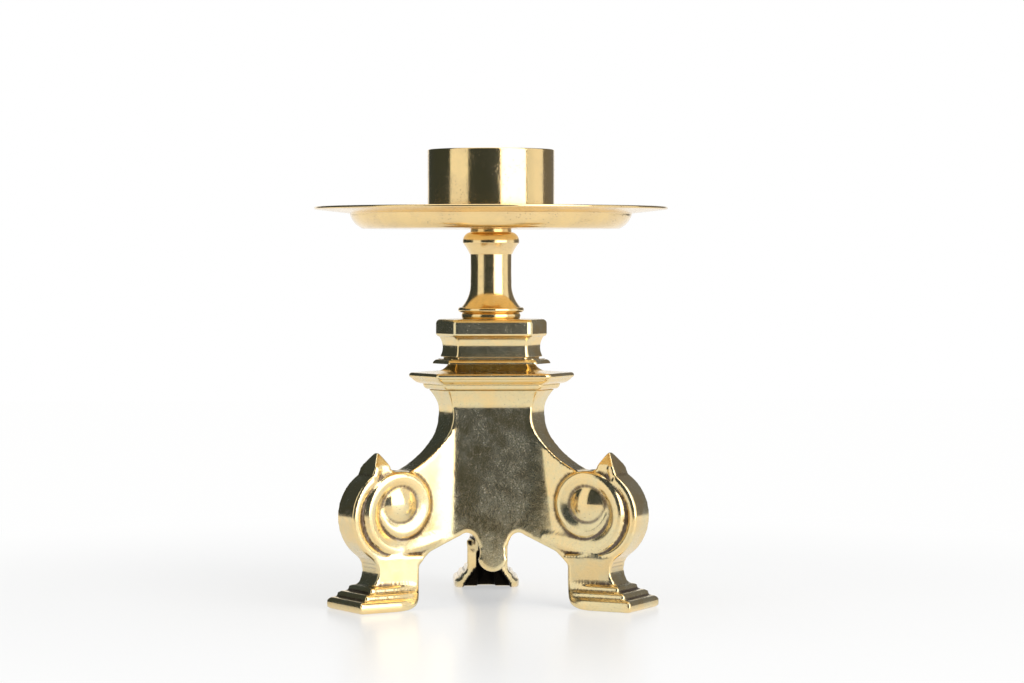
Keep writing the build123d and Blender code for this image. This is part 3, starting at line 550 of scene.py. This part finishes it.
# Plinth cap: a second brass casting, held down on the cornice by the tie rod.
# It has a small lip, a hollow die and a thick slab with a flat face and rounded edges.
CAP_PLAN = (14.6, 19.0)
CAP_CORNER_ROUNDING = 1.5
CAP_CORNER_GROWTH = 0.6
CAP_SEAT = (-0.3, 96.2)
LIP_INNER_EDGE = (-0.3, 96.9)
LIP_OUTER_EDGE = (0.75, 96.9)
DIE_FOOT = (0.75, 97.4)
DIE_TOP = (1.3, 104.8)
CAP_FACE_FOOT = (2.5, 106.5)
CAP_FACE_TOP = (2.5, 110.0)
CAP_TOP = (0.8, 111.7)
cap_profile = [CAP_SEAT, LIP_INNER_EDGE, LIP_OUTER_EDGE]
cap_profile += bowed(DIE_FOOT, DIE_TOP, bow=1.0)
cap_profile += bowed(DIE_TOP, CAP_FACE_FOOT, bow=-0.45)[1:]
cap_profile += bowed(CAP_FACE_TOP, CAP_TOP, bow=-0.45)
plinth_mesh = run_moulding("plinth_block", CAP_PLAN, softened(cap_profile, radius=0.3), CAP_CORNER_ROUNDING,
                           CAP_CORNER_GROWTH)
plinth = shown("plinth_block", plinth_mesh, cast_brass)
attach(plinth, "stand")
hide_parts("plinth_cap")

# Collar and stem: turned from brass bar on a lathe, bored for the tie rod, and drawn down on the cap by it.
# The stem has a foot ring, a bell, a slim shaft, a bead and a neck that carries the drip pan.
# Points are in millimetres, out from the axis and up from the floor.
ROD_BORE = 3.25
COLLAR_FOOT = 111.7
COLLAR_TOP = 114.2
COLLAR_RADIUS = 11.1
FOOT_RING_FOOT = (11.9, 114.2)
FOOT_RING_TOP = (12.6, 116.2)
BELL_FOOT = (11.8, 116.2)
BELL_TOP = (8.15, 126.0)
SHAFT_TOP = (8.15, 137.2)
BEAD_FOOT = (8.4, 137.2)
BEAD_EDGE = (11.1, 141.6)
BEAD_TOP = (8.5, 145.8)
NECK_FOOT = (8.1, 145.8)
NECK_TOP = (8.1, 147.2)
STEM_TOP = 147.2
TURN_STEPS = 192
TURNING_CREASE = 0.6
LATHE_CENTRE = 0.0001
SAME_POINT = 1e-7
RUBBED_BRASS = (0.82, 0.60, 0.29, 1.0)
turned_brass = brass("turned brass", RUBBED_BRASS, dullness=0.12, film=0.45, pitting=0.6, relief=0.15)[0]


def lathe_tree():
    """Spins a closed outline, drawn in radius and depth, round the upright axis."""
    tree = bpy.data.node_groups.new("turned on a lathe", "GeometryNodeTree")
    tree.interface.new_socket("Outline", in_out="INPUT", socket_type="NodeSocketGeometry")
    tree.interface.new_socket("Steps", in_out="INPUT", socket_type="NodeSocketInt")
    tree.interface.new_socket("Finish", in_out="INPUT", socket_type="NodeSocketMaterial")
    tree.interface.new_socket("Turned", in_out="OUTPUT", socket_type="NodeSocketGeometry")
    given = tree.nodes.new("NodeGroupInput").outputs
    outline = node(tree, "GeometryNodeMeshToCurve", {"Mesh": given["Outline"]})
    way_round = node(tree, "GeometryNodeCurvePrimitiveCircle", {"Resolution": given["Steps"],
                                                                "Radius": LATHE_CENTRE})
    skin = node(tree, "GeometryNodeCurveToMesh", {"Curve": way_round.outputs["Curve"],
                                                  "Profile Curve": outline.outputs["Curve"]})
    closed = node(tree, "GeometryNodeMergeByDistance", {"Geometry": skin.outputs["Mesh"],
                                                        "Distance": SAME_POINT})
    real = node(tree, "GeometryNodeRealizeInstances", {"Geometry": closed.outputs["Geometry"]})
    finished = node(tree, "GeometryNodeSetMaterial", {"Geometry": real.outputs["Geometry"],
                                                      "Material": given["Finish"]})
    result = tree.nodes.new("NodeGroupOutput")
    tree.links.new(finished.outputs["Geometry"], result.inputs["Turned"])
    return tree


lathe = lathe_tree()


def turned(name, outline, material, steps=TURN_STEPS):
    """A piece spun on the lathe from its closed outline in radius and height, as a plain mesh."""
    points = []
    for radius, level in reversed(outline):
        points.append((radius * MILLIMETRE - LATHE_CENTRE, -level * MILLIMETRE, 0.0))
    edges = [(index, (index + 1) % len(points)) for index in range(len(points))]
    blank = bpy.data.meshes.new(name)
    blank.from_pydata(points, edges, [])
    work = shown(name, blank, material)
    tool = work.modifiers.new("lathe", "NODES")
    tool.node_group = lathe
    values = {"Steps": steps, "Finish": material}
    for item in lathe.interface.items_tree:
        if item.name in values:
            tool[item.identifier] = values[item.name]
    result = bpy.data.meshes.new_from_object(work.evaluated_get(bpy.context.evaluated_depsgraph_get()))
    work.modifiers.clear()
    work.data = result
    result.shade_smooth()
    result.set_sharp_from_angle(angle=TURNING_CREASE)
    return work


collar_outline = [(ROD_BORE, COLLAR_FOOT)]
collar_outline += bowed((COLLAR_RADIUS, COLLAR_FOOT), (COLLAR_RADIUS, COLLAR_TOP), bow=-0.6)
collar_outline.append((ROD_BORE, COLLAR_TOP))
collar = turned("collar_ring", softened(collar_outline, radius=0.2, closed=True), turned_brass)
stem_outline = [(ROD_BORE, COLLAR_TOP)]
stem_outline += bowed(FOOT_RING_FOOT, FOOT_RING_TOP, bow=-0.75)
stem_outline += bowed(BELL_FOOT, BELL_TOP, bow=1.1, steps=24)
stem_outline += bowed(BELL_TOP, SHAFT_TOP, bow=0.1)[1:]
stem_outline += bowed(BEAD_FOOT, BEAD_EDGE, bow=0.15)
stem_outline += bowed(BEAD_EDGE, BEAD_TOP, bow=-0.95, steps=20)[1:]
stem_outline += [NECK_FOOT, NECK_TOP, (ROD_BORE, STEM_TOP)]
stem = turned("turned_stem", softened(stem_outline, radius=0.25, closed=True), turned_brass)
for turning, name in ((collar, "stem_collar"), (stem, "stem")):
    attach(turning, "stand")
    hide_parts(name)

# Pricket: the brass spike that the candle is pushed on, turned from bar and screwed on the tie rod.
# Its boss centres the pan and the cup. It stands inside the cup, so the plain solid is kept as it is.
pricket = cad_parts["pricket"]
pricket.data.materials.clear()
pricket.data.materials.append(turned_brass)

# Drip pan: spun from brass sheet over a former, with a flat floor, a rounded wall and a wide rim.
# The rim slopes up to a rounded edge. The pan rests loose on the stem's neck and lifts off over the spike.
PAN_HOLE = 6.4
PAN_FLOOR = 148.3
PAN_TURN_STEPS = 256
WALL_FOOT_OUTSIDE = (50.5, 147.2)
WALL_TOP_OUTSIDE = (55.6, 153.2)
RIM_EDGE_UNDER = (69.05, 154.7)
RIM_EDGE_OVER = (69.05, 155.8)
WALL_TOP_INSIDE = (55.05, 154.3)
WALL_FOOT_INSIDE = (49.95, 148.3)
sheet_brass = brass("sheet brass", RUBBED_BRASS, dullness=0.10, film=0.35, pitting=0.9, relief=0.25)[0]
pan_outline = [(PAN_HOLE, STEM_TOP)]
pan_outline += bowed(WALL_FOOT_OUTSIDE, WALL_TOP_OUTSIDE, bow=-1.0)
pan_outline += bowed(RIM_EDGE_UNDER, RIM_EDGE_OVER, bow=-0.55)
pan_outline += bowed(WALL_TOP_INSIDE, WALL_FOOT_INSIDE, bow=1.0)
pan_outline.append((PAN_HOLE, PAN_FLOOR))
pan = turned("spun_pan", softened(pan_outline, radius=1.2, closed=True), sheet_brass, PAN_TURN_STEPS)
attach(pan, "pan")
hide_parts("drip_pan")

# Candle cup: a short straight tube of turned brass with a floor, which is holed for the spike.
# It stands loose in the pan, and its finish is the brightest on the stand.
CUP_RADIUS = 25.0
CUP_BORE = 23.5
CUP_FLOOR = 149.9
CUP_TOP = 178.3
cup_brass = brass("polished brass", RUBBED_BRASS, dullness=0.07, film=0.18, pitting=0.8, relief=0.15)[0]
cup_outline = [(PAN_HOLE, PAN_FLOOR), (CUP_RADIUS, PAN_FLOOR), (CUP_RADIUS, CUP_TOP), (CUP_BORE, CUP_TOP),
               (CUP_BORE, CUP_FLOOR), (PAN_HOLE, CUP_FLOOR)]
cup = turned("candle_tube", softened(cup_outline, radius=0.5, closed=True), cup_brass)
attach(cup, "cup")
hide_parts("candle_cup")

# The studio: a white sheet under the stand that fades into a white backdrop, a tall soft light at the right,
# paler cards at the left and far right, a soft light overhead, and a room otherwise dark to the metal.
SHEET_FRONT = -0.42
SHEET_BACK = 1.6
SHEET_HALF = 0.6
SHEET_WHITE = (0.94, 0.94, 0.935, 1.0)
SHEET_ROUGHNESS = 0.5
SHEET_FIBRE_SCALE = 400.0
SHEET_FIBRE = (0.99, 0.99, 0.985, 1.0)
PURE_WHITE = (1.0, 1.0, 1.0, 1.0)
SHEET_FADE = (0.09, 0.38)
SHEET_GLOW = (0.66, 1.0)
SHEET_SHEEN = (0.4, 0.0)
SHEET_SHEEN_ROUGHNESS = 0.22
SHEET_REFRACTION = 1.4
floor_mesh = bpy.data.meshes.new("white sheet")
floor_mesh.from_pydata([(-SHEET_HALF, SHEET_FRONT, 0.0), (SHEET_HALF, SHEET_FRONT, 0.0),
                        (SHEET_HALF, SHEET_BACK, 0.0), (-SHEET_HALF, SHEET_BACK, 0.0)], [], [(0, 1, 2, 3)])
white_sheet = bpy.data.materials.new("white sheet")
white_sheet.use_nodes = True
sheet_tree = white_sheet.node_tree
sheet_shader = sheet_tree.nodes["Principled BSDF"]
sheet_shader.inputs["Base Color"].default_value = SHEET_WHITE
sheet_shader.inputs["Roughness"].default_value = SHEET_ROUGHNESS
sheet_where = sheet_tree.nodes.new("ShaderNodeTexCoord").outputs["Object"]
sheet_length = node(sheet_tree, "ShaderNodeVectorMath", {0: sheet_where}, {"operation": "LENGTH"})
sheet_away = sheet_length.outputs["Value"]
sheet_fibres = node(sheet_tree, "ShaderNodeTexNoise", {"Vector": sheet_where, "Scale": SHEET_FIBRE_SCALE})
sheet_tone = mixed(sheet_tree, sheet_fibres.outputs["Fac"], SHEET_FIBRE, PURE_WHITE)
sheet_glow = node(sheet_tree, "ShaderNodeEmission", {"Color": sheet_tone, "Strength": 1.0})
sheet_rays = sheet_tree.nodes.new("ShaderNodeLightPath").outputs
sheet_seen = calculate(sheet_tree, "MAXIMUM", sheet_rays["Is Camera Ray"], sheet_rays["Is Glossy Ray"])
sheet_faded = ramp(sheet_tree, sheet_away, *SHEET_FADE, *SHEET_GLOW)
sheet_share = calculate(sheet_tree, "MULTIPLY", sheet_seen, sheet_faded)
sheet_matt = node(sheet_tree, "ShaderNodeMixShader", {0: sheet_share, 1: sheet_shader.outputs[0],
                                                      2: sheet_glow.outputs[0]})
sheet_gloss = node(sheet_tree, "ShaderNodeBsdfGlossy", {"Color": PURE_WHITE,
                                                        "Roughness": SHEET_SHEEN_ROUGHNESS})
sheet_fresnel = node(sheet_tree, "ShaderNodeFresnel", {"IOR": SHEET_REFRACTION}).outputs[0]
sheet_polish = calculate(sheet_tree, "MULTIPLY", sheet_fresnel,
                         ramp(sheet_tree, sheet_away, *SHEET_FADE, *SHEET_SHEEN))
sheet_mix = node(sheet_tree, "ShaderNodeMixShader", {0: sheet_polish, 1: sheet_matt.outputs[0],
                                                     2: sheet_gloss.outputs[0]})
sheet_tree.links.new(sheet_mix.outputs[0], sheet_tree.nodes["Material Output"].inputs["Surface"])
floor = shown("white_sheet", floor_mesh, white_sheet)


def soft_panel(name, azimuth, distance, width, low, high, brightness):
    """An upright soft light, seen in the metal; azimuth 0 is in front and a positive one is at the right."""
    lamp = bpy.data.lights.new(name, "AREA")
    lamp.shape = "RECTANGLE"
    lamp.size = width
    lamp.size_y = high - low
    lamp.energy = brightness * math.pi * width * (high - low)
    made = bpy.data.objects.new(name, lamp)
    turn = math.radians(azimuth)
    made.location = (distance * math.sin(turn), -distance * math.cos(turn), (low + high) / 2.0)
    made.rotation_euler = (math.pi / 2.0, 0.0, turn)
    made.visible_camera = False
    bpy.context.scene.collection.objects.link(made)


soft_panel("soft light", azimuth=39.5, distance=0.9, width=0.80, low=-0.15, high=2.0, brightness=3.3)
soft_panel("left card", azimuth=-62.0, distance=1.0, width=0.67, low=-0.15, high=1.2, brightness=0.95)
soft_panel("right card", azimuth=86.0, distance=1.0, width=0.73, low=-0.15, high=1.2, brightness=0.82)

OVERHEAD_SIZE = 1.4
OVERHEAD_BRIGHTNESS = 2.2
OVERHEAD_PLACE = (0.0, 0.2, 1.6)
overhead_lamp = bpy.data.lights.new("overhead light", "AREA")
overhead_lamp.size = OVERHEAD_SIZE
overhead_lamp.energy = OVERHEAD_BRIGHTNESS * math.pi * OVERHEAD_SIZE ** 2
overhead = bpy.data.objects.new("overhead light", overhead_lamp)
overhead.location = OVERHEAD_PLACE
overhead.visible_camera = False
bpy.context.scene.collection.objects.link(overhead)

DARK_WALLS = (0.046, 0.058, 0.060, 1.0)
RIGHT_WALL = (0.17, 0.17, 0.17, 1.0)
RIGHT_WALL_ACROSS = (0.15, 0.40)
RIGHT_WALL_AHEAD = (-0.30, 0.0)
BACKDROP_AHEAD = (0.90, 0.95)
room = bpy.data.worlds.new("room")
room.use_nodes = True
bpy.context.scene.world = room
room_tree = room.node_tree
room_place = room_tree.nodes.new("ShaderNodeTexCoord").outputs["Generated"]
room_way = node(room_tree, "ShaderNodeSeparateXYZ", {0: room_place}).outputs
right_wall = calculate(room_tree, "MULTIPLY", ramp(room_tree, room_way["X"], *RIGHT_WALL_ACROSS),
                       ramp(room_tree, room_way["Y"], *RIGHT_WALL_AHEAD))
room_walls = mixed(room_tree, right_wall, DARK_WALLS, RIGHT_WALL)
room_seen = mixed(room_tree, ramp(room_tree, room_way["Y"], *BACKDROP_AHEAD), room_walls, PURE_WHITE)
room_rays = room_tree.nodes.new("ShaderNodeLightPath").outputs
room_colour = mixed(room_tree, room_rays["Is Camera Ray"], room_seen, PURE_WHITE)
room_tree.links.new(room_colour, room_tree.nodes["Background"].inputs["Color"])

bpy.context.scene.view_settings.view_transform = "Standard"

# The camera: level with the stem's bead, 1.18 m away and a little left of the middle, with a long lens.
# It is turned slightly down and to the right, so its own level falls on one row of the picture
# and the stand's axis on one column.
CAMERA_DISTANCE = 1.18
CAMERA_HEIGHT = 0.138
CAMERA_AZIMUTH = math.radians(-2.2)
LENS_PIXELS = 2990.0
PICTURE_WIDTH = 1024.0
PICTURE_HEIGHT = 683.0
LEVEL_ROW = 252.0
AXIS_COLUMN = 491.0
SENSOR_WIDTH = 36.0
camera_data = bpy.data.cameras.new("camera")
camera_data.sensor_width = SENSOR_WIDTH
camera_data.lens = LENS_PIXELS / PICTURE_WIDTH * SENSOR_WIDTH
camera = bpy.data.objects.new("camera", camera_data)
camera.location = (CAMERA_DISTANCE * math.sin(CAMERA_AZIMUTH), -CAMERA_DISTANCE * math.cos(CAMERA_AZIMUTH),
                   CAMERA_HEIGHT)
dip = math.atan2(PICTURE_HEIGHT / 2.0 - LEVEL_ROW, LENS_PIXELS)
swing = math.atan2(PICTURE_WIDTH / 2.0 - AXIS_COLUMN, LENS_PIXELS)
camera.rotation_euler = (math.pi / 2.0 - dip, 0.0, CAMERA_AZIMUTH - swing)
bpy.context.scene.collection.objects.link(camera)
bpy.context.scene.camera = camera
